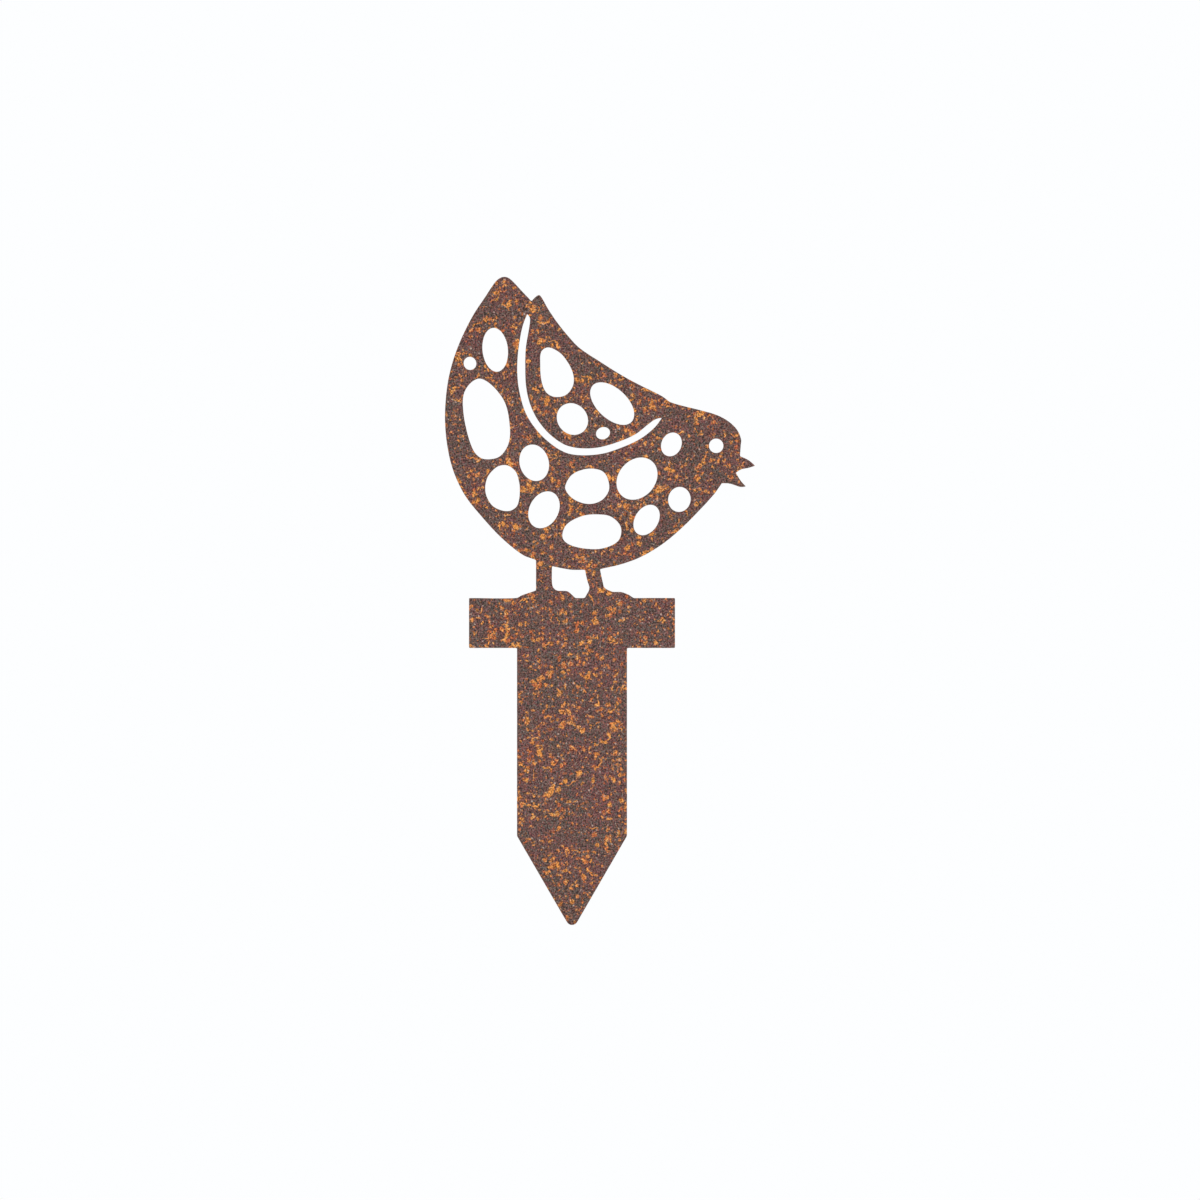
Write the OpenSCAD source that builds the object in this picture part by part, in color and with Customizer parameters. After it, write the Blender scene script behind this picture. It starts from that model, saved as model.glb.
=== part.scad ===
// Hen garden stake, cut from one sheet of weathering steel.
// The sheet stands in the XZ plane: +Z is up, the hen faces +X, and Y is the sheet's thickness.
// The origin is the middle of the crossbar's underside, which sits on the ground.
// The hen is drawn from the top of the crossbar, in millimetres at its standard height.
// Each node is a region of the one sheet, and the regions meet face to face.

/* [Sheet] */
// Thickness of the steel sheet
sheet_t = 2; // [1.5:0.5:3]

/* [Ground stake] */
// Length of the crossbar that the hen stands on
bar_len = 103; // [90:1:140]
// Height of the crossbar
bar_h = 25; // [15:1:35]
// Width of the blade that goes into the ground
blade_w = 55; // [35:1:80]
// Depth of the blade's tip below the crossbar
blade_depth = 138.5; // [90:0.5:200]
// Length of the tapered end of the blade
point_len = 44.5; // [30:0.5:70]
// Radius of the blade's tip
tip_r = 3; // [1:0.5:6]

/* [Hen] */
// Height of the hen above the crossbar
hen_h = 160.5; // [120:0.5:240]
// Diameter of the eye
eye_d = 7.2; // [5:0.2:10]

/* [Colours] */
// Colour of the rusted steel
rust = "#6b4437"; // ["#6b4437", "#8a4a2a", "#4f4340"]

/* [Hidden] */

// Height at which the hen's points are drawn
drawn_h = 160.5;
// Straight steps between two points of a curve, round each egg, round the eye and round the tip
curve_steps = 4;
egg_steps = 36;
eye_steps = 48;
tip_steps = 12;

// Corners where one stretch of the hen's outline ends and the next begins
rear_leg_back = [-18, 19];
rear_leg_front = [-10, 15.9];
front_leg_back = [6.5, 14.1];
front_leg_front = [14, 14.4];
notch = [-20.3, 148.4];
wing_root = [48.7, 98.2];
brow = [84, 70.9];
mouth = [81.9, 62.6];
throat = [74.9, 57.4];
slot_top = [-22.4, 142];
slot_end = [44.9, 90];

// Rump and tail, from the rear leg up to the notch in front of the tail
tail_line = [
    rear_leg_back, [-25, 21.8], [-35.7, 30.5], [-45, 40.5], [-53, 50.5], [-58.2, 60.5],
    [-61.3, 70.5], [-63.2, 83], [-63.4, 95.5], [-61.6, 110.5], [-57.1, 125.5], [-50, 140.4],
    [-43.5, 150.4], [-38.2, 158.2], [-35.2, 160.4], [-32.4, 160.4], [-30, 158.7], [-25, 153.4],
    notch
];
// Raised wing tip and the long slope of the back
back_line = [
    notch, [-18, 150.7], [-16.4, 151.5], [-15, 150], [-12.1, 144.8], [-7.7, 138.2], [-2.1, 131.2],
    [3.7, 125.1], [14, 118.2], [26.2, 110.6], [35.1, 105.9], [44.9, 101], wing_root
];
// Crown and face, from the wing's root to the top of the beak
head_line = [
    wing_root, [50.4, 97.5], [55, 96.2], [65, 93.7], [72.1, 91.6], [77.7, 88.7], [82.4, 84.3],
    [84.5, 79.6], [84.4, 76.5], brow
];
// Breast and belly, from the throat to the front leg
breast_line = [
    throat, [73.7, 55.6], [71.2, 52.1], [65, 45.2], [55, 35.1], [45, 26.8], [34.6, 20.6],
    [25, 17], front_leg_front
];
// Underside between the legs
belly_line = [front_leg_back, [0, 14.1], [-5.1, 14.9], rear_leg_front];

// The two edges of the long curved slot under the wing
slot_outer_line = [
    slot_top, [-24.4, 136.8], [-25.8, 130.7], [-27.1, 121.2], [-27.3, 111.2], [-26.1, 102.3],
    [-23.3, 92.9], [-18.6, 85.2], [-11.4, 77.8], [-3.4, 72.8], [4.6, 71.4], [15.2, 72.2],
    [25.2, 75.4], [34.6, 79.9], [41.5, 85.5], slot_end
];
slot_inner_line = [
    slot_top, [-21.2, 140.4], [-21, 138.4], [-21.8, 132.9], [-23.1, 125.1], [-23.4, 115.1],
    [-22.9, 105.1], [-20.7, 96.2], [-16.6, 88.2], [-10.4, 81.2], [-3, 76.4], [5.2, 74.8],
    [14, 75.4], [24.6, 78.6], [32.1, 82.1], [37.7, 86.5], [40.9, 88.9], [43.2, 89.8], slot_end
];

// Oval cut-outs: [x, z, length, width, tilt of the length from +X]
body_ovals = [
    [-38.4, 124.1, 22, 12.7, 96],       // upper tail
    [-51, 117.3, 6.6, 6.3, 110],        // small tail
    [49.7, 76.8, 12.2, 10, 66],         // neck
    [-18.9, 67.6, 18.5, 14.5, 106],     // under the slot
    [32.5, 59.7, 22.9, 18.4, 49],       // breast
    [53.7, 49.3, 12.5, 11.2, 81],       // crop
    [-14, 44.1, 19.4, 14.5, 62],        // flank
    [37.3, 39, 16.4, 11.6, 58]          // lower breast
];
wing_ovals = [
    [20.1, 97.2, 26.6, 15.1, 137],      // right
    [0.2, 89.5, 16.6, 14.8, 131],       // middle
    [15.5, 82.4, 7.1, 6, 21]            // small
];

// Lopsided cut-outs, each a closed curve through its points
tail_egg = [
    [-45.4, 109.6], [-50, 108.1], [-54, 102.3], [-54.4, 94], [-52.4, 82.7], [-49.2, 73.7],
    [-45.5, 70], [-41, 69.4], [-36, 70.9], [-32, 76.5], [-31, 84], [-33.2, 96.8], [-38.8, 105.1]
];
rump_egg = [
    [-33.8, 66.5], [-38, 65.2], [-42.4, 60], [-43.2, 52.7], [-40, 46.4], [-34.7, 43.7],
    [-30.4, 43.8], [-27.2, 46.6], [-26.1, 54.6], [-27.6, 62.1], [-30.5, 65.4]
];
middle_egg = [
    [-3.4, 55.7], [-2, 52.1], [1.6, 49], [7.1, 47.1], [12.1, 47.6], [16, 49.9], [18.6, 54.6],
    [17.3, 61], [14, 64], [7, 64.5], [0, 61.6]
];
belly_egg = [
    [-4.8, 30.5], [-2.8, 36.6], [4.9, 40.9], [12.5, 41.8], [19.6, 40.6], [24.4, 35.4],
    [23.2, 28.7], [15.2, 24.8], [5.2, 24.9], [-2, 27.1]
];
wing_egg = [
    [-12.7, 125.2], [-15.4, 123], [-15.9, 117.5], [-15.2, 108.4], [-12.7, 102.6], [-8.2, 100.5],
    [-2.7, 101.8], [0.7, 107], [0.1, 113.4], [-4.4, 121], [-9.1, 124.5]
];
eye = [72.1, 76.1];

// Smooth curve from b to c, at fraction t, with a and d the points before and after them.
// It is a cubic whose slope at each point follows the line between that point's neighbours.
function curve_point(a, b, c, d, t) =
    let (span = norm(c - b),
         slope_b = (c - a) * span / (span + norm(b - a)),
         slope_c = (d - b) * span / (span + norm(d - c)))
    (2*t*t*t - 3*t*t + 1) * b + (t*t*t - 2*t*t + t) * slope_b
        + (3*t*t - 2*t*t*t) * c + (t*t*t - t*t) * slope_c;

// Curve through every point of a line, without its last point, so that stretches join
function curve(p) = [
    for (i = [0 : len(p) - 2])
        let (before = i > 0 ? p[i - 1] : 2*p[0] - p[1],
             after = i < len(p) - 2 ? p[i + 2] : 2*p[i + 1] - p[i])
            for (j = [0 : curve_steps - 1])
                curve_point(before, p[i], p[i + 1], after, j / curve_steps)
];

// The same curve round a closed line
function closed_curve(p) = [
    for (i = [0 : len(p) - 1])
        let (n = len(p))
            for (j = [0 : curve_steps - 1])
                curve_point(p[(i + n - 1) % n], p[i], p[(i + 1) % n], p[(i + 2) % n],
                            j / curve_steps)
];

// A flat region of the sheet, standing upright with its thickness centred on Y = 0
module plate() {
    color(rust) rotate([90, 0, 0]) linear_extrude(sheet_t, center = true) children();
}

// Places a drawing of the hen on the crossbar at the hen's real height
module on_bar() {
    translate([0, bar_h]) scale(hen_h / drawn_h) children();
}

// Oval outline: an ellipse of length e[2] and width e[3], turned about its centre
module oval(e) {
    translate([e[0], e[1]]) rotate(e[4]) polygon([
        for (i = [0 : egg_steps - 1])
            let (a = 360 * i / egg_steps)
                [e[2] / 2 * cos(a), e[3] / 2 * sin(a)]
    ]);
}

// Whole hen without its beak and legs
module silhouette() {
    polygon(concat(
        curve(tail_line), curve(back_line), curve(head_line), [brow, mouth],
        curve(breast_line), [front_leg_front], curve(belly_line), [rear_leg_front]
    ));
}

// Everything on the wing's side of one edge of the slot
module wing_side(edge) {
    polygon(concat(curve(edge), [slot_end, wing_root, [60, 125], [40, 170], [-19, 170], notch]));
}

module hen_body() {
    plate() on_bar() difference() {
        silhouette();
        wing_side(slot_outer_line);
        for (e = body_ovals) oval(e);
        for (e = [tail_egg, rump_egg, middle_egg, belly_egg]) polygon(closed_curve(e));
        translate(eye) circle(d = eye_d, $fn = eye_steps);
    }
}

module wing() {
    plate() on_bar() difference() {
        intersection() {
            silhouette();
            wing_side(slot_inner_line);
        }
        for (e = wing_ovals) oval(e);
        polygon(closed_curve(wing_egg));
    }
}

module upper_beak() {
    plate() on_bar() polygon(concat(
        curve([brow, [86, 70.1], [88.2, 69], [90, 67.6], [91.5, 66.1]]),
        curve([[91.5, 66.1], [88.4, 65.1], [84.6, 64.3], mouth]),
        [mouth]
    ));
}

module lower_beak() {
    plate() on_bar() polygon(concat(
        curve([mouth, [82.9, 60.9], [84.3, 58.7], [87, 55.7]]),
        curve([[87, 55.7], [84.3, 55.5], [82, 56.2], [78.7, 57.2], throat]),
        [throat]
    ));
}

module rear_leg() {
    plate() on_bar() polygon(concat(
        [rear_leg_back],
        curve([rear_leg_front, [-10, 8], [-9.4, 5.3], [-8, 4], [-6.9, 3.6]]),
        curve([[-6.9, 3.6], [-3, 3.5], [-1.6, 3], [0, 1.6], [1.7, 0]]),
        [[1.7, 0], [-27.9, 0], [-25, 1.4], [-20, 3.1], [-18, 3.8]]
    ));
}

module front_leg() {
    plate() on_bar() polygon(concat(
        [front_leg_back],
        curve([front_leg_front, [14.8, 10.5], [15.9, 5.6]]),
        curve([[15.9, 5.6], [17.1, 4.5], [19, 3.6], [20.6, 3.1], [24.6, 3], [28.4, 1.6]]),
        [[28.4, 1.6], [30.9, 0]],
        curve([[6.3, 0], [7.7, 2.4], [8.5, 4], [8.7, 5.4]]),
        curve([[8.7, 5.4], [7.4, 9.6], front_leg_back])
    ));
}

// Crossbar and blade. The tapered edges run from the blade's full width, tangent to the tip's arc.
module ground_stake() {
    taper_z = point_len - blade_depth;
    tip_z = tip_r - blade_depth;
    reach = norm([blade_w / 2, taper_z - tip_z]);
    first = atan2(taper_z - tip_z, blade_w / 2) - acos(tip_r / reach);
    plate() polygon(concat(
        [
            [-bar_len / 2, 0], [-bar_len / 2, bar_h], [bar_len / 2, bar_h], [bar_len / 2, 0],
            [blade_w / 2, 0], [blade_w / 2, taper_z]
        ],
        [
            for (i = [0 : tip_steps])
                let (a = first + (-180 - 2 * first) * i / tip_steps)
                    [tip_r * cos(a), tip_z + tip_r * sin(a)]
        ],
        [[-blade_w / 2, taper_z], [-blade_w / 2, 0]]
    ));
}

hen_body();
wing();
upper_beak();
lower_beak();
rear_leg();
front_leg();
ground_stake();
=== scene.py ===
"""A hen garden stake, laser cut from one sheet of weathering steel and left to rust.

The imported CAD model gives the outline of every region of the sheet. This script skins the sheet:
both faces carry a fine relief of rust, every cut edge is softened, and the rust is one finish
that runs on from region to region. The sheet is worked out as a whole and then shared out among
its regions, so that neighbouring pieces meet point for point and no seam shows.
"""

import math

import bpy
import numpy as np
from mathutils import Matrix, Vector
from mathutils.geometry import delaunay_2d_cdt


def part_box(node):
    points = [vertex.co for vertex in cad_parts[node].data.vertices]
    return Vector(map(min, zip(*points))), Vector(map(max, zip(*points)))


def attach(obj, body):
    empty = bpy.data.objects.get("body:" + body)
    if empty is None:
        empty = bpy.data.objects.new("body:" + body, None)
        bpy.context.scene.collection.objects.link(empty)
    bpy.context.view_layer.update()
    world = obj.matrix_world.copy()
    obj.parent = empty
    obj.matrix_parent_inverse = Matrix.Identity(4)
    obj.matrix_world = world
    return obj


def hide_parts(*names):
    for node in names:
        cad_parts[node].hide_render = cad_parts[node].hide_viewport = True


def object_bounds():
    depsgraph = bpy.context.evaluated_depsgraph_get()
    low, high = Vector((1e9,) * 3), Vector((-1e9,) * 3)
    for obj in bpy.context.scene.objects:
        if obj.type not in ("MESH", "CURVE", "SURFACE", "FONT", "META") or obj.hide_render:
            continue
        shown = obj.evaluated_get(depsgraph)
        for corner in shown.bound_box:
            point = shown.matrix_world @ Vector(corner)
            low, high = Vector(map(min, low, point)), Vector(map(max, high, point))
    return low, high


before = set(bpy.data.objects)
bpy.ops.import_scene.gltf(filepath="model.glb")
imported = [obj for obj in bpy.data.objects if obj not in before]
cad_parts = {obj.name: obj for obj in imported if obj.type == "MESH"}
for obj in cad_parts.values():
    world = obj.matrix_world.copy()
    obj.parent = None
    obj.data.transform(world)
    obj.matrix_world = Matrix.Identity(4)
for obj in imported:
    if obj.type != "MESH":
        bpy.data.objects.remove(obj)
CAD_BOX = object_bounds()

MM = 0.001
NODES = sorted(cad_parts)
SHEET_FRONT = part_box(NODES[0])[0].y
SHEET_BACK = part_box(NODES[0])[1].y

SNAP = 0.01 * MM            # CAD corners nearer than this are one corner
EDGE_PITCH = 0.36 * MM      # distance between points along a cut edge
EDGE_RADIUS = 0.22 * MM     # rounding where a face turns into a cut edge
CORNER_SPREAD = 1.1         # rounding of sharp corners, in points along the edge
SHARP_TURN = math.radians(28)   # turn past which a corner of the outline is a real corner
FACE_PITCH = 0.62 * MM      # distance between points on a face
FACE_SHIFT = 0.16           # most that such a point is shifted at random, in pitches
CLEARANCE = 0.45 * FACE_PITCH
CUT_SMOOTHNESS = 0.6        # share of the rust's relief that the cut edge lacks
RIM_OUTLINE_SHADE = 0.35             # share of the cut's darker finish painted on the very rim of a face, as painted shade: a thin dark outline
TIP_FIT = 0.45              # most that an edge's rounding may be, in radii of the outline's bend
RANDOM_SEED = 11


# ------------------------------------------------------------------ outline from the CAD model

def front_face_edges(node):
    """Edges of the triangles on a node's front face, as two arrays of corners (x, z).

    Seen from the front, each triangle runs anticlockwise, so the steel lies left of its edges.
    """
    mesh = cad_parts[node].data
    mesh.calc_loop_triangles()
    corners = np.empty(3 * len(mesh.vertices))
    mesh.vertices.foreach_get("co", corners)
    corners = corners.reshape(-1, 3)
    triangles = np.empty(3 * len(mesh.loop_triangles), int)
    mesh.loop_triangles.foreach_get("vertices", triangles)
    triangles = triangles.reshape(-1, 3)
    in_front = (corners[triangles, 1] < SHEET_FRONT + SNAP).all(1)
    ring = corners[triangles[in_front]][:, :, [0, 2]]
    return ring.reshape(-1, 2), np.roll(ring, -1, axis=1).reshape(-1, 2)


def split_at_corners(points, starts, ends, owners):
    """Splits each edge wherever another corner lies on it, so that neighbours share whole edges."""
    along = points[ends] - points[starts]
    length = np.linalg.norm(along, axis=1)
    offset = points[None] - points[starts][:, None]
    part = (offset * along[:, None]).sum(2) / length[:, None] ** 2
    aside = np.abs(offset[..., 0] * along[:, None, 1] - offset[..., 1] * along[:, None, 0])
    margin = (SNAP / length)[:, None]
    on_edge = (aside < 2 * SNAP * length[:, None]) & (part > margin) & (part < 1 - margin)
    edge, corner = np.nonzero(on_edge)
    count = len(starts)
    edge_ids = np.concatenate([np.arange(count), edge, np.arange(count)])
    parts = np.concatenate([np.zeros(count), part[edge, corner], np.ones(count)])
    corner_ids = np.concatenate([starts, corner, ends])
    order = np.lexsort((parts, edge_ids))
    edge_ids, corner_ids = edge_ids[order], corner_ids[order]
    joined = edge_ids[1:] == edge_ids[:-1]
    return corner_ids[:-1][joined], corner_ids[1:][joined], owners[edge_ids[:-1][joined]]


def sheet_outline():
    """The sheet's corners, and the start, end, owner and seam mark of every edge of a region.

    An edge that two triangles of one region share lies inside it and is left out. An edge that
    two regions share is a seam, and both keep it, each in its own direction.
    """
    sides = [front_face_edges(node) for node in NODES]
    owners = np.repeat(np.arange(len(NODES)), [len(side[0]) for side in sides])
    both_ends = np.concatenate([side[0] for side in sides] + [side[1] for side in sides])
    snapped, ids = np.unique(np.round(both_ends / SNAP).astype(int), axis=0, return_inverse=True)
    ids = ids.ravel()
    starts, ends = ids[: len(owners)], ids[len(owners):]
    size = len(snapped)
    there, back = starts * size + ends, ends * size + starts
    inner = np.isin(owners * size * size + there, owners * size * size + back)
    outer = ~inner
    points = snapped * SNAP
    starts, ends, owners = split_at_corners(points, starts[outer], ends[outer], owners[outer])
    seam = np.isin(starts * size + ends, ends * size + starts)
    return points, starts, ends, owners, seam


def follow(after, start):
    """The closed ring through start, where after[i] is the corner that follows corner i.

    The known part of the ring doubles in length until it comes round to its start again.
    """
    ring, jump = np.array([start]), after
    while True:
        further = jump[ring]
        home = np.nonzero(further == start)[0]
        if len(home):
            return np.concatenate([ring, further[: home[0]]])
        ring = np.concatenate([ring, further])
        jump = jump[jump]


# ------------------------------------------------------------------ cut edges as fine curves

def softened(values, spread):
    """Bell-weighted average of each value on a closed ring with its neighbours."""
    steps = np.arange(-4, 5)
    weights = np.exp(-0.5 * (steps / spread) ** 2)
    weights /= weights.sum()
    return sum(weight * np.roll(values, step, axis=0) for weight, step in zip(weights, steps))


def fine_curve(corners):
    """A closed curve of evenly spaced points through the corners, and the corner before each.

    Between two corners the curve is a Hermite cubic. Its slope at a corner follows the sides
    on both hands, each weighted by its length, or is the side itself where the outline turns
    sharply. A bell-weighted average then gives sharp corners the small radius a laser leaves.
    """
    side = np.roll(corners, -1, axis=0) - corners
    span = np.linalg.norm(side, axis=1)[:, None]
    heading = side / span
    sharp = (heading * np.roll(heading, 1, axis=0)).sum(1, keepdims=True) < math.cos(SHARP_TURN)
    slope = (side + np.roll(side, 1, axis=0)) / (span + np.roll(span, 1, axis=0))
    leave = np.where(sharp, heading, slope) * span
    arrive = np.where(np.roll(sharp, -1, axis=0), heading, np.roll(slope, -1, axis=0)) * span
    counts = np.maximum(1, np.ceil(span[:, 0] / EDGE_PITCH).astype(int))
    k = np.repeat(np.arange(len(corners)), counts)
    t = (np.arange(len(k)) - (np.cumsum(counts) - counts)[k]) / counts[k]
    t = t[:, None]
    curve = (
        (2 * t**3 - 3 * t**2 + 1) * corners[k]
        + (t**3 - 2 * t**2 + t) * leave[k]
        + (3 * t**2 - 2 * t**3) * np.roll(corners, -1, axis=0)[k]
        + (t**3 - t**2) * arrive[k]
    )
    return softened(curve, CORNER_SPREAD), k


def edge_frame(curve):
    """Outward direction, edge radius and distance along the curve at each of its points.

    The steel lies left of the curve. The edge radius is EDGE_RADIUS, or TIP_FIT times the
    radius of the tightest bend near by where that is less, so that it fits a pointed tip.
    """
    ahead, behind = np.roll(curve, -1, axis=0) - curve, curve - np.roll(curve, 1, axis=0)
    along = (ahead + behind) / np.linalg.norm(ahead + behind, axis=1)[:, None]
    outward = np.stack([along[:, 1], -along[:, 0]], axis=1)
    cross = behind[:, 0] * ahead[:, 1] - behind[:, 1] * ahead[:, 0]
    bend = np.arctan2(cross, (behind * ahead).sum(1)) / np.linalg.norm(ahead, axis=1)
    fitting = np.minimum(EDGE_RADIUS, TIP_FIT / np.maximum(softened(bend, 1.0), 1.0))
    fitting = np.min([np.roll(fitting, step) for step in range(-3, 4)], axis=0)
    return outward, softened(fitting, 1.0), np.cumsum(np.linalg.norm(ahead, axis=1))


def trace_outline(points, starts, ends, owners):
    """Every cut edge as a fine curve, one after another in shared arrays.

    The arrays hold, for each fine point: its place, outward direction, edge radius, distance
    along its ring, the next point's number, and the owner of the stretch to the next point.
    The last array gives the number of the fine point at each corner.
    """
    after, owner_of = np.full(len(points), -1), np.full(len(points), -1)
    after[starts], owner_of[starts] = ends, owners
    fine_of, left, base, parts = np.full(len(points), -1), set(starts.tolist()), 0, []
    while left:
        ring = follow(after, min(left))
        left -= set(ring.tolist())
        curve, k = fine_curve(points[ring])
        outward, radius, distance = edge_frame(curve)
        fine_of[ring] = base + np.searchsorted(k, np.arange(len(ring)))
        following = base + np.roll(np.arange(len(curve)), -1)
        parts.append((curve, outward, radius, distance, following, owner_of[ring][k]))
        base += len(curve)
    return [np.concatenate(part) for part in zip(*parts)] + [fine_of]


# ------------------------------------------------------------------ relief of the rust

def value_noise(places, pitch, seed):
    """Smooth noise from 0 to 1: random values on a cubic lattice, blended by a smooth step."""
    cell = np.floor(places / pitch).astype(np.int64)
    part = places / pitch - cell
    part = part * part * (3 - 2 * part)
    total = np.zeros(len(places))
    for corner in np.ndindex(2, 2, 2):
        x, y, z = (cell + corner).T
        code = (x * 73856093) ^ (y * 19349663) ^ (z * 83492791) ^ (seed * 26544357)
        code = ((code ^ (code >> 13)) & 0xFFFFFFFF) * 1274126177
        value = ((code ^ (code >> 16)) & 0xFFFF) / 0xFFFF
        total += value * np.where(corner, part, 1 - part).prod(1)
    return total


def rust_relief(places):
    """Height of the rusted skin above the rolled steel, in metres.

    It adds up a slow waviness from the mill, scale, a fine grain, blisters, which are the
    peaks of a noise, and pits, which are the floors of another.
    """
    wavy = value_noise(places, 21 * MM, 3) - 0.5
    scaly = value_noise(places, 3.1 * MM, 5) - 0.5
    grain = value_noise(places, 1.3 * MM, 7) - 0.5
    blister = np.clip(value_noise(places, 2.4 * MM, 9) - 0.66, 0, None) / 0.34
    pit = np.clip(0.3 - value_noise(places, 1.9 * MM, 13), 0, None) / 0.3
    total = 0.05 * wavy + 0.06 * scaly + 0.05 * grain + 0.11 * blister**0.7 - 0.07 * pit - 0.05
    return total * MM


def drag_lines(distance, depth):
    """Ripple that the laser leaves on a cut edge, in metres.

    It is a sine wave along the edge that trails further behind with depth, and whose height
    swells and fades along the edge. Depth runs from 0 at the front to 1 at the back.
    """
    trail = distance + 0.5 * MM * depth**2
    swell = 0.6 + 0.4 * np.sin(trail / (3.7 * MM))
    return 0.014 * MM * swell * np.sin(2 * math.pi * trail / (1.45 * MM)) * depth * (1 - depth) * 4


# ------------------------------------------------------------------ the whole sheet

def edge_profile():
    """Cross-section of the softened edge from the front face, over the cut, to the back face.

    Each row holds: share of the radius inwards, depth from 0 in front to 1 at the back, share
    of the radius in depth, and the outward and backward parts of the surface's direction. The
    rows run through a quarter circle, a straight wall and a second quarter circle.
    """
    turn = np.linspace(0, math.pi / 2, 4)
    front = np.stack([1 - np.sin(turn), 0 * turn, 1 - np.cos(turn), np.sin(turn), -np.cos(turn)], 1)
    part = np.array([1 / 3, 2 / 3])
    wall = np.stack([0 * part, part, 1 - 2 * part, 1 + 0 * part, 0 * part], 1)
    back = front[::-1] * [1, 0, -1, 1, -1] + [0, 1, 0, 0, 0]
    return np.concatenate([front, wall, back])


def face_lattice(low, high):
    """Points of a triangular lattice over a box, each shifted a little at random."""
    columns = np.arange(low[0], high[0], FACE_PITCH)
    rows = np.arange(low[1], high[1], FACE_PITCH * math.sqrt(0.75))
    x, z = np.meshgrid(columns, rows)
    x = x + 0.5 * FACE_PITCH * (np.arange(len(rows)) % 2)[:, None]
    lattice = np.stack([x.ravel(), z.ravel()], axis=1)
    shift = np.random.default_rng(RANDOM_SEED).uniform(-FACE_SHIFT, FACE_SHIFT, lattice.shape)
    return lattice + shift * FACE_PITCH


def clear_of(lattice, boundary, gap):
    """The lattice points with no boundary point in their own square of side gap or the 8 round it."""
    around = np.array(list(np.ndindex(3, 3))) - 1
    taken = (np.floor(boundary / gap).astype(int)[:, None] + around).reshape(-1, 2)
    cell = np.floor(lattice / gap).astype(int)
    return lattice[~np.isin(cell @ [1, 1 << 20], taken @ [1, 1 << 20])]


def is_inside(places, starts, ends):
    """Whether each place lies inside a closed outline: an odd number of its edges is above it.

    With the places sorted by x, the ones above or below an edge are one run of them.
    """
    order = np.argsort(places[:, 0])
    x, z = places[order].T
    left, right = np.minimum(starts[:, 0], ends[:, 0]), np.maximum(starts[:, 0], ends[:, 0])
    first = np.searchsorted(x, left)
    counts = np.searchsorted(x, right) - first
    edge = np.repeat(np.arange(len(starts)), counts)
    place = np.arange(len(edge)) - (np.cumsum(counts) - counts - first)[edge]
    rise = (ends[edge, 1] - starts[edge, 1]) / (ends[edge, 0] - starts[edge, 0])
    above = starts[edge, 1] + rise * (x[place] - starts[edge, 0]) > z[place]
    return np.bincount(order[place[above]], minlength=len(places)) % 2 == 1


def quads_to_triangles(a, b, c, d):
    """Two triangles for each four-sided face a, b, c, d."""
    quads = np.stack(np.broadcast_arrays(a, b, c, d), axis=-1).reshape(-1, 4)
    return np.concatenate([quads[:, [0, 1, 2]], quads[:, [0, 2, 3]]])


def corner_normals(places, triangles):
    """Direction of the surface at each point: the sum of its faces' directions, by their area."""
    a, b, c = places[triangles].transpose(1, 0, 2)
    face = np.cross(b - a, c - a)
    total = np.stack([
        np.bincount(triangles.ravel(), np.repeat(face[:, axis], 3), minlength=len(places))
        for axis in range(3)
    ], axis=1)
    return total / np.maximum(np.linalg.norm(total, axis=1), 1e-20)[:, None]


def lay_seams(rim, fine_of, starts, ends):
    """The points of every seam, and its run of point numbers by its start and end corner.

    A seam is a straight line between two rim points, in equal steps of about FACE_PITCH. The
    region on its other side has the same run in reverse.
    """
    runs, places, base = {}, [], len(rim)
    for a, b in zip(starts.tolist(), ends.tolist()):
        if (b, a) in runs:
            runs[a, b] = runs[b, a][::-1]
            continue
        gap = rim[fine_of[b]] - rim[fine_of[a]]
        count = int(np.linalg.norm(gap) / FACE_PITCH)
        share = np.arange(1, count + 1)[:, None] / (count + 1)
        places.append(rim[fine_of[a]] + share * gap)
        runs[a, b] = np.concatenate([[fine_of[a]], base + np.arange(count), [fine_of[b]]])
        base += count
    return np.concatenate(places), runs


def triangulate(boundary, lattice, borders):
    """All flat points of a face and its anticlockwise triangles, with every border as an edge."""
    flat = np.concatenate([boundary, lattice])
    fixed = np.unique(np.sort(np.concatenate(borders), axis=1), axis=0)
    flat, _, faces, *_ = delaunay_2d_cdt(flat.tolist(), fixed.tolist(), [], 0, 1e-9, False)
    flat, faces = np.array(flat), np.array(faces)
    a, b, c = flat[faces].transpose(1, 0, 2)
    turned = np.cross(b - a, c - a) < 0
    faces[turned] = faces[turned][:, ::-1]
    return flat, faces


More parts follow.
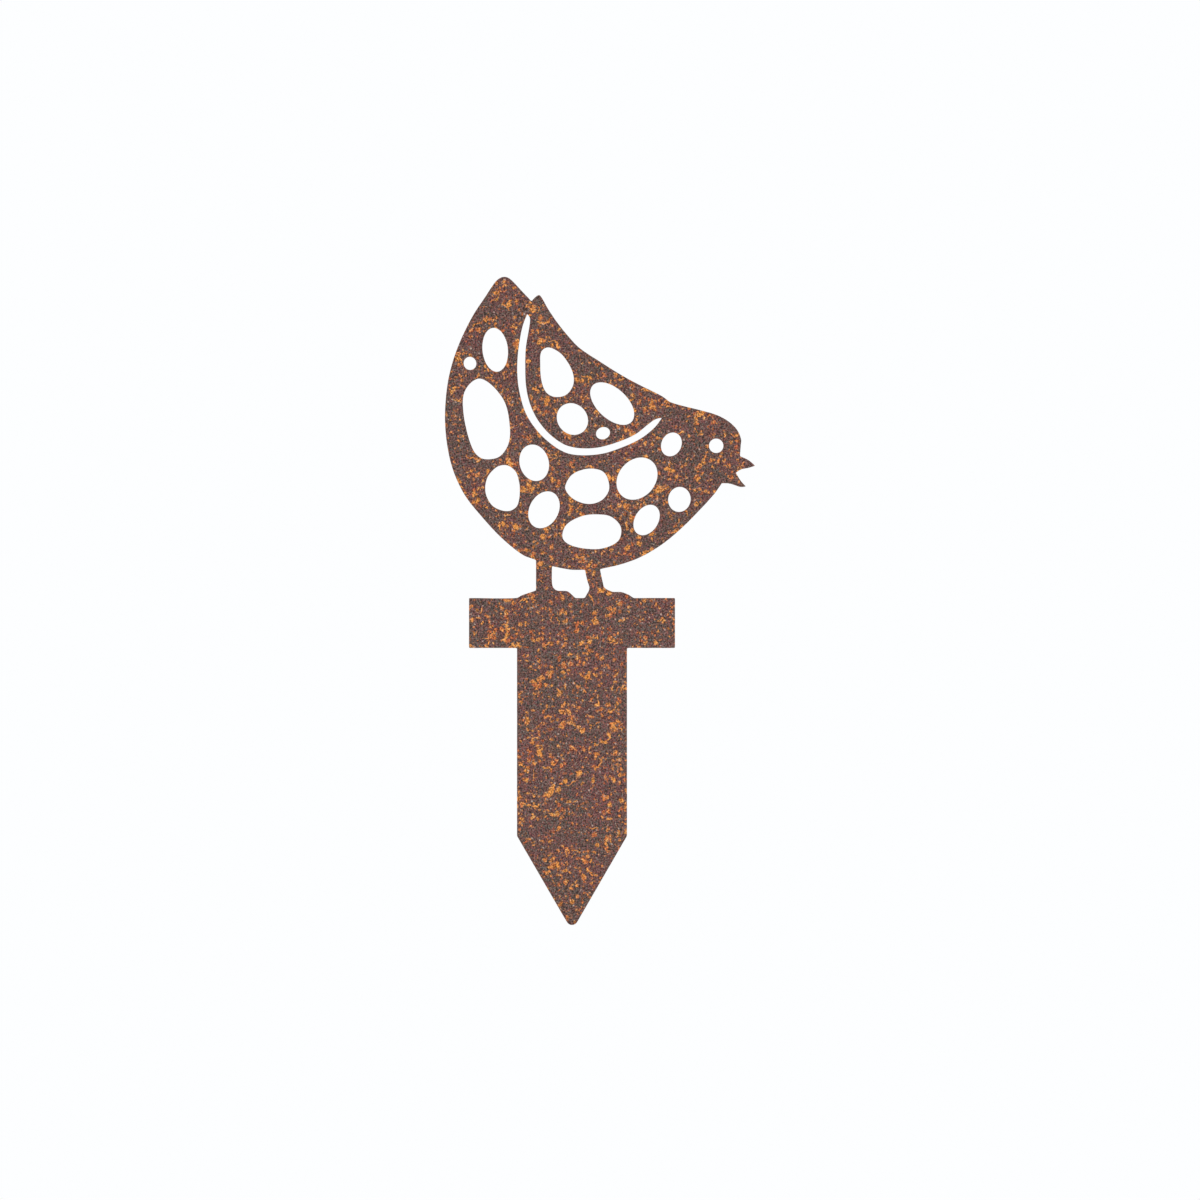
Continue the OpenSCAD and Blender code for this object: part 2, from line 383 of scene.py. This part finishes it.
def shape_surface(profile, edge, outward, radius, distance, inner):
    """Places and marks of all points for the cut's colour and the painted outline shade: the edge's
    rows, the front's and the back's inside.

    An edge point is its curve point, moved in by its row's share of the radius, at its row's
    depth. Every point is then lifted along the surface's direction by the relief of the rust,
    which is weaker on the cut, and by the drag lines.
    """
    thickness = SHEET_BACK - SHEET_FRONT
    inwards, depth, curl, out_part, back_part = profile.T[:, :, None]
    in_plane = edge - inwards[..., None] * radius[:, None] * outward
    y = SHEET_FRONT + depth * thickness + curl * radius
    edge_places = np.stack([in_plane[..., 0], y, in_plane[..., 1]], axis=-1)
    straight = np.ones(len(edge))
    edge_ways = np.stack([out_part * outward[:, 0], back_part * straight, out_part * outward[:, 1]], -1)
    ripple = out_part * drag_lines(distance, depth + curl * radius / thickness)

    ones = np.ones(len(inner))
    front_inner = np.stack([inner[:, 0], SHEET_FRONT * ones, inner[:, 1]], axis=1)
    back_inner = np.stack([inner[:, 0], SHEET_BACK * ones, inner[:, 1]], axis=1)
    places = np.concatenate([edge_places.reshape(-1, 3), front_inner, back_inner])
    face_ways = np.repeat([[0, -1, 0], [0, 1, 0]], len(inner), axis=0)
    ways = np.concatenate([edge_ways.reshape(-1, 3), face_ways])
    row_turn = np.repeat(profile[:, 3], len(edge))
    on_faces = np.zeros(2 * len(inner))
    smooth = np.concatenate([CUT_SMOOTHNESS * row_turn, on_faces])
    lift = np.concatenate([ripple.ravel(), on_faces]) + rust_relief(places) * (1 - smooth)
    # The rim of each face gets a share of the cut's colour: painted shade, a thin dark outline.
    cut_and_painted_outline = np.concatenate([np.maximum(RIM_OUTLINE_SHADE, row_turn), on_faces])
    return places + ways * lift[:, None], cut_and_painted_outline


def build_sheet():
    """The whole sheet: places, surface directions, marks for the cut's colour and the painted outline
    shade, and the faces of each region.

    The points come in blocks: each row of the edge profile once round all rings, then the
    inner points of the front face, then those of the back face. A region's faces are two
    arrays of triangles: its skin, and the hidden walls that close it along its seams.
    """
    corners, starts, ends, owners, seam = sheet_outline()
    cut = ~seam
    edge, outward, radius, distance, following, stretch_owner, fine_of = trace_outline(
        corners, starts[cut], ends[cut], owners[cut])
    rim = edge - outward * radius[:, None]
    round_rim = len(rim)
    seam_places, runs = lay_seams(rim, fine_of, starts[seam], ends[seam])
    boundary = np.concatenate([rim, seam_places])
    region_borders, region_seams = [], []
    for region in range(len(NODES)):
        here = seam & (owners == region)
        lines = [runs[a, b] for a, b in zip(starts[here].tolist(), ends[here].tolist())]
        mine = np.nonzero(stretch_owner == region)[0]
        pairs = [np.stack([mine, following[mine]], axis=1)]
        pairs += [np.stack([line[:-1], line[1:]], axis=1) for line in lines]
        region_borders.append(np.concatenate(pairs))
        region_seams.append(lines)

    lattice = clear_of(face_lattice(corners.min(0), corners.max(0)), boundary, CLEARANCE)
    lattice = lattice[is_inside(lattice, rim, rim[following])]
    flat, faces = triangulate(boundary, lattice, region_borders)
    middle = flat[faces].mean(1)

    profile = edge_profile()
    places, cut_and_painted_outline = shape_surface(profile, edge, outward, radius, distance, flat[round_rim:])

    # A flat point's number on the front face and on the back face.
    last_row = (len(profile) - 1) * round_rim
    number = np.arange(len(flat))
    front_of = np.where(number < round_rim, number, number + last_row)
    back_of = np.where(number < round_rim, number + last_row, number + last_row + len(flat) - round_rim)

    regions = []
    row = np.arange(len(profile) - 1)[:, None] * round_rim
    fan = np.arange(1, len(profile) - 1) * round_rim
    for region, borders in enumerate(region_borders):
        own = faces[is_inside(middle, flat[borders[:, 0]], flat[borders[:, 1]])]
        i = np.nonzero(stretch_owner == region)[0]
        j = following[i]
        wall = quads_to_triangles(row + i, row + round_rim + i, row + round_rim + j, row + j)
        skin = np.concatenate([front_of[own], back_of[own][:, ::-1], wall])
        hidden = [np.zeros((0, 3), int)]
        lines = region_seams[region]
        for line in lines:
            front, back = front_of[line], back_of[line]
            hidden.append(quads_to_triangles(front[:-1], back[:-1], back[1:], front[1:]))
            # A fan closes the curved gap at each end, unless another seam goes on from there.
            first, last = 0 * fan + line[0], 0 * fan + line[-1]
            if line[0] not in [other[-1] for other in lines]:
                hidden.append(np.stack([first, first + fan, first + fan + round_rim], 1))
            if line[-1] not in [other[0] for other in lines]:
                hidden.append(np.stack([last, last + fan + round_rim, last + fan], 1))
        regions.append((skin, np.concatenate(hidden)))
    ways = corner_normals(places, np.concatenate([skin for skin, _ in regions]))
    return places, ways, cut_and_painted_outline, regions


def make_piece(name, node, sheet, region, finish):
    """One region of the sheet as a closed piece that stands for its CAD node."""
    places, ways, cut_and_painted_outline, regions = sheet
    skin, hidden = regions[region]
    faces = np.concatenate([skin, hidden])
    used, local = np.unique(faces, return_inverse=True)
    local = local.reshape(-1)
    mesh = bpy.data.meshes.new(name)
    mesh.vertices.add(len(used))
    mesh.vertices.foreach_set("co", places[used].ravel())
    mesh.loops.add(len(local))
    mesh.loops.foreach_set("vertex_index", local)
    mesh.polygons.add(len(faces))
    mesh.polygons.foreach_set("loop_start", 3 * np.arange(len(faces)))
    mesh.update(calc_edges=True)
    mesh.polygons.foreach_set("use_smooth", np.ones(len(faces), bool))
    a, b, c = places[hidden].transpose(1, 0, 2)
    flat = np.cross(b - a, c - a)
    flat /= np.maximum(np.linalg.norm(flat, axis=1), 1e-20)[:, None]
    normals = np.concatenate([ways[skin.ravel()], np.repeat(flat, 3, axis=0)])
    mesh.normals_split_custom_set(normals.tolist())
    mark = mesh.attributes.new("cut_and_rim_shade", "FLOAT", "POINT")
    mark.data.foreach_set("value", cut_and_painted_outline[used])
    mesh.materials.append(finish)
    piece = bpy.data.objects.new(name, mesh)
    bpy.context.scene.collection.objects.link(piece)
    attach(piece, "root")
    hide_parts(node)
    return piece


# ------------------------------------------------------------------ rust

# Colours of the mill scale, of the old and the fresh rust, of the painted highlights, and of the cut.
GREY_SCALE = "#524038"
PURPLE_SCALE = "#603c38"
OLD_RUST = "#8c4f36"
SLATE = "#575e5c"
MAUVE = "#754547"
FRESH_RUST = "#a85736"
BRIGHT_RUST = "#cc8440"
# Painted highlights: small glints of light on the scale and on the fresh rust.
PAINTED_SCALE_HIGHLIGHT = "#8a7870"
PAINTED_RUST_HIGHLIGHT = "#ffcb88"
CHIP = "#cbb0a3"
# The cut's colours, also used for painted shade: a thin dark outline round the rim of each face.
DARK_CUT_AND_OUTLINE_SHADE = "#382721"
LIGHT_CUT_AND_OUTLINE_SHADE = "#754c38"


def linear(colour):
    """A hexadecimal sRGB colour as the linear values that the shader works in."""
    parts = np.array([int(colour[i:i + 2], 16) for i in (1, 3, 5)]) / 255
    values = np.where(parts <= 0.04045, parts / 12.92, ((parts + 0.055) / 1.055) ** 2.4)
    return (*values.tolist(), 1.0)


class Finish:
    """A material under construction: each method adds a shader node and returns its output."""

    def __init__(self, name):
        self.material = bpy.data.materials.new(name)
        self.material.use_nodes = True
        self.tree = self.material.node_tree
        self.shader = self.tree.nodes["Principled BSDF"]

    def node(self, kind, values=(), **settings):
        """A node with its settings, and its inputs linked or set."""
        made = self.tree.nodes.new(kind)
        for key, value in settings.items():
            setattr(made, key, value)
        for key, value in dict(values).items():
            if isinstance(value, bpy.types.NodeSocket):
                self.tree.links.new(value, made.inputs[key])
            else:
                made.inputs[key].default_value = value
        return made

    def math(self, operation, a, b=0.0, c=0.0):
        """One operation on numbers, such as a times b plus c."""
        return self.node("ShaderNodeMath", {0: a, 1: b, 2: c}, operation=operation).outputs[0]

    def vector(self, operation, a, b=(0.0, 0.0, 0.0), scale=1.0):
        """One operation on vectors, such as a plus b or a times scale."""
        values = {0: a, 1: b, 3: scale}
        return self.node("ShaderNodeVectorMath", values, operation=operation).outputs[0]

    def place(self, where, shift=(0, 0, 0), scale=(1, 1, 1)):
        """Coordinates scaled and shifted. Its own shift gives each pattern its own noise."""
        values = {"Vector": where, "Location": shift, "Scale": scale}
        return self.node("ShaderNodeMapping", values).outputs[0]

    def noise(self, where, pitch, detail=2.0, roughness=0.5, distortion=0.0, output="Fac"):
        """Cloudy noise round one half, with features about pitch apart, or three as a colour."""
        values = {"Vector": where, "Scale": 1 / pitch, "Detail": detail, "Roughness": roughness,
                  "Distortion": distortion}
        return self.node("ShaderNodeTexNoise", values).outputs[output]

    def cells(self, where, pitch):
        """Scattered centres about pitch apart: distance to the nearest, and its own random colour."""
        values = {"Vector": where, "Scale": 1 / pitch, "Randomness": 1.0}
        made = self.node("ShaderNodeTexVoronoi", values)
        return self.math("MULTIPLY", made.outputs["Distance"], pitch), made.outputs["Color"]

    def split(self, colour):
        """The red, green and blue of a colour, as three numbers."""
        return self.node("ShaderNodeSeparateColor", {0: colour}).outputs

    def ramp(self, value, low, high, out_low=0.0, out_high=1.0):
        """An S-shaped step: out_low where value is under low, out_high where it is over high."""
        values = {"Value": value, "From Min": low, "From Max": high,
                  "To Min": out_low, "To Max": out_high}
        return self.node("ShaderNodeMapRange", values, interpolation_type="SMOOTHSTEP").outputs[0]

    def mix(self, share, a, b, blend="MIX"):
        """Colour a with colour b over it."""
        made = self.node("ShaderNodeMix", {"Factor": share}, data_type="RGBA", blend_type=blend)
        for socket, value in ((made.inputs[6], a), (made.inputs[7], b)):
            if isinstance(value, bpy.types.NodeSocket):
                self.tree.links.new(value, socket)
            else:
                socket.default_value = linear(value) if isinstance(value, str) else value
        return made.outputs[2]

    def either(self, *masks):
        """The strongest of several masks."""
        result = masks[0]
        for mask in masks[1:]:
            result = self.math("MAXIMUM", result, mask)
        return result


def rusted_steel():
    """Weathering steel in its first months outdoors.

    Patches of purple brown and grey mill scale carry flecks, dots and threads of fresh orange
    rust, and a fine grain, painted highlights and a few pale chips lie over both. Lengths are in
    millimetres.
    Depth counts three times, so that front and back don't show one pattern.
    """
    rust = Finish("rusted steel")
    surface = rust.node("ShaderNodeTexCoord").outputs["Object"]
    spot = rust.place(surface, (310, 170, 240), (1000, 3000, 1000))
    ragged = rust.noise(spot, 1.2, 2, 0.65, output="Color")
    ragged = rust.vector("SUBTRACT", ragged, (0.5, 0.5, 0.5))
    drawn = rust.noise(rust.place(spot, (4, 70, 31)), 5, 1, 0.5, output="Color")
    drawn = rust.vector("SUBTRACT", drawn, (0.5, 0.5, 0.5))
    frayed = rust.vector("ADD", spot, rust.vector("SCALE", ragged, scale=1.7))
    frayed = rust.vector("ADD", frayed, rust.vector("SCALE", drawn, scale=3.8))

    # The skin of mill scale and old rust.
    patch = rust.noise(spot, 15, 3, 0.6)
    skin = rust.mix(rust.ramp(patch, 0.42, 0.62), GREY_SCALE, PURPLE_SCALE)
    mottle = rust.noise(rust.place(spot, (40, 0, 7)), 2.2, 4, 0.75)
    skin = rust.mix(rust.ramp(mottle, 0.51, 0.68, 0, 0.7), skin, OLD_RUST)
    hue = rust.split(rust.noise(rust.place(spot, (9, 3, 1)), 1.0, 1, 0.5, output="Color"))
    skin = rust.mix(rust.ramp(hue[1], 0.50, 0.66, 0, 0.6), skin, SLATE)
    skin = rust.mix(rust.ramp(hue[2], 0.50, 0.66, 0, 0.7), skin, MAUVE)

    # Fresh rust, gathered in loose clusters. Flecks and dots are frayed discs, each of a random
    # size, and threads are stretches of a noise's contour line.
    gather = rust.noise(rust.place(spot, (80, 5, 33)), 10, 2, 0.5)
    reach = rust.ramp(gather, 0.36, 0.60, 0.5, 1.0)
    big, big_colour = rust.cells(frayed, 3.1)
    big_random = rust.split(big_colour)
    big_size = rust.math("MULTIPLY", rust.math("MULTIPLY_ADD", big_random[0], 1.3, 0.22), reach)
    fleck = rust.ramp(rust.math("SUBTRACT", big_size, big), -0.35, 0.35)
    small, small_colour = rust.cells(rust.place(frayed, (3, 11, 17)), 1.9)
    small_random = rust.split(small_colour)
    small_size = rust.math("MULTIPLY", rust.math("MULTIPLY_ADD", small_random[0], 1.25, -0.26), reach)
    dot = rust.ramp(rust.math("SUBTRACT", small_size, small), -0.22, 0.22)
    contour = rust.noise(rust.place(frayed, (21, 2, 5)), 11, 1, 0.4, 0.8)
    contour = rust.math("ABSOLUTE", rust.math("SUBTRACT", contour, 0.5))
    broken = rust.noise(rust.place(spot, (55, 14, 90)), 5.5, 1, 0.5)
    thread = rust.math("MULTIPLY", rust.ramp(contour, 0.038, 0.012), rust.ramp(broken, 0.54, 0.60))
    fresh = rust.either(fleck, dot, thread)
    tint = rust.noise(rust.place(spot, (17, 9, 61)), 3.0, 2, 0.6)
    tint = rust.math("MULTIPLY_ADD", big_random[1], 0.25, tint)
    tint = rust.math("MULTIPLY_ADD", thread, 0.15, tint)
    orange = rust.mix(rust.ramp(tint, 0.42, 0.85), FRESH_RUST, BRIGHT_RUST)
    colour = rust.mix(fresh, skin, orange)

    # A fine grain over both, painted highlights as small pale and golden glints, and pale specks where
    # scale has chipped.
    grain = rust.noise(rust.place(spot, (13, 8, 2)), 0.8, 1, 0.7)
    shade = rust.ramp(grain, 0.33, 0.67, 0.28, 1.8)
    shade = rust.node("ShaderNodeCombineColor", {0: shade, 1: shade, 2: shade}).outputs[0]
    colour = rust.mix(1.0, colour, shade, "MULTIPLY")
    # Painted highlights: the brightest spots of a fine noise turn pale on the scale and golden on the
    # fresh rust.
    painted_glint = rust.ramp(rust.noise(rust.place(spot, (5, 23, 44)), 0.7, 1, 0.6), 0.58, 0.72, 0, 0.8)
    colour = rust.mix(painted_glint, colour, rust.mix(fresh, PAINTED_SCALE_HIGHLIGHT, PAINTED_RUST_HIGHLIGHT))
    chipped = rust.vector("ADD", spot, rust.vector("SCALE", ragged, scale=1.3))
    pale, pale_colour = rust.cells(rust.place(chipped, (71, 6, 28)), 1.9)
    pale_random = rust.split(pale_colour)
    speck = rust.math("SUBTRACT", rust.math("MULTIPLY_ADD", pale_random[0], 1.6, -1.12), pale)
    colour = rust.mix(rust.ramp(speck, -0.15, 0.15, 0, 0.75), colour, CHIP)

    # The cut is darker, and streaked across the sheet by the laser. On the rim of each face the same
    # darker colour is painted shade, a thin dark outline.
    cut = rust.node("ShaderNodeAttribute", attribute_name="cut_and_rim_shade").outputs["Fac"]
    streak = rust.noise(rust.place(surface, (0, 0, 0), (1000, 120, 1000)), 0.8, 2, 0.6)
    edge_colour = rust.mix(rust.ramp(streak, 0.35, 0.65), DARK_CUT_AND_OUTLINE_SHADE, LIGHT_CUT_AND_OUTLINE_SHADE)
    bare_cut_and_outline_shade = rust.math("MULTIPLY", cut, rust.ramp(fresh, 0, 1, 0.85, 0.35))
    colour = rust.mix(bare_cut_and_outline_shade, colour, edge_colour)

    rust.tree.links.new(colour, rust.shader.inputs["Base Color"])
    rough = rust.ramp(fresh, 0, 1, 0.68, 0.9)
    rust.tree.links.new(rough, rust.shader.inputs["Roughness"])
    scale = rust.math("MULTIPLY_ADD", mottle, 0.5, rust.math("MULTIPLY", grain, 0.5))
    height = rust.math("MULTIPLY_ADD", fresh, 0.18, scale)
    height = rust.math("MULTIPLY_ADD", rust.math("MULTIPLY", cut, streak), 0.3, height)
    bump = rust.node("ShaderNodeBump", {"Strength": 0.9, "Distance": 0.0007, "Height": height})
    rust.tree.links.new(bump.outputs[0], rust.shader.inputs["Normal"])
    rust.shader.inputs["Specular IOR Level"].default_value = 0.25
    return rust.material


# ------------------------------------------------------------------ studio

CENTRE = Vector((0.014, 0.0, 0.024))   # what the camera looks at
SEEN_WIDTH = 0.6                       # metres across the picture
CAMERA_DISTANCE = 2.0
WHITE = (0.982, 0.991, 1.0, 1)         # the surroundings
FILL = 0.38                            # share of the surroundings' brightness that lights the sheet
LIGHT_SIZE = math.radians(28)          # width of each light in the sky, for soft shadows
LIGHT_STRENGTH = 2.1
LIGHT_RISE = math.radians(35)
FLOOR_COLOUR = (0.875, 0.88, 0.885, 1)
FLOOR_HALF = 1.8
FLOOR_GAP = 0.1 * MM                   # between the blade's tip and the floor


def add_camera():
    """A camera without perspective, level and straight in front of the sheet."""
    camera = bpy.data.objects.new("camera", bpy.data.cameras.new("camera"))
    camera.data.type = "ORTHO"
    camera.data.ortho_scale = SEEN_WIDTH
    camera.location = CENTRE - Vector((0, CAMERA_DISTANCE, 0))
    camera.rotation_euler = (math.pi / 2, 0, 0)
    bpy.context.scene.collection.objects.link(camera)
    bpy.context.scene.camera = camera


def add_light(name, azimuth):
    """A soft, even light from far away. Azimuth 0 is straight in front of the sheet."""
    light = bpy.data.objects.new(name, bpy.data.lights.new(name, "SUN"))
    light.data.energy = LIGHT_STRENGTH
    light.data.angle = LIGHT_SIZE
    turn, level = math.radians(azimuth), math.cos(LIGHT_RISE)
    toward = Vector((math.sin(turn) * level, -math.cos(turn) * level, math.sin(LIGHT_RISE)))
    light.rotation_euler = toward.to_track_quat("Z", "Y").to_euler()
    bpy.context.scene.collection.objects.link(light)


def build_studio():
    """White surroundings, one soft light on each side of the sheet, and a pale floor."""
    world = bpy.data.worlds.new("studio")
    world.use_nodes = True
    nodes, links = world.node_tree.nodes, world.node_tree.links
    background = nodes["Background"]
    background.inputs["Color"].default_value = WHITE
    path = nodes.new("ShaderNodeLightPath")
    glow = nodes.new("ShaderNodeMapRange")
    glow.inputs["To Min"].default_value = FILL
    links.new(path.outputs["Is Camera Ray"], glow.inputs["Value"])
    links.new(glow.outputs[0], background.inputs["Strength"])
    bpy.context.scene.world = world
    bpy.context.scene.view_settings.view_transform = "Standard"
    add_light("front light", -40)
    add_light("back light", 140)

    floor_mesh = bpy.data.meshes.new("floor")
    half, low = FLOOR_HALF, CAD_BOX[0][2] - FLOOR_GAP
    corners = [(-half, -half, low), (half, -half, low), (half, half, low), (-half, half, low)]
    floor_mesh.from_pydata(corners, [], [(0, 1, 2, 3)])
    pale = Finish("pale floor")
    pale.shader.inputs["Base Color"].default_value = FLOOR_COLOUR
    pale.shader.inputs["Roughness"].default_value = 0.8
    floor_mesh.materials.append(pale.material)
    floor = bpy.data.objects.new("floor", floor_mesh)
    bpy.context.scene.collection.objects.link(floor)


# ------------------------------------------------------------------ the garden stake

SHEET = build_sheet()
FINISH = rusted_steel()
for number, node in enumerate(NODES):
    make_piece(node + "_steel", node, SHEET, number, FINISH)

add_camera()
build_studio()
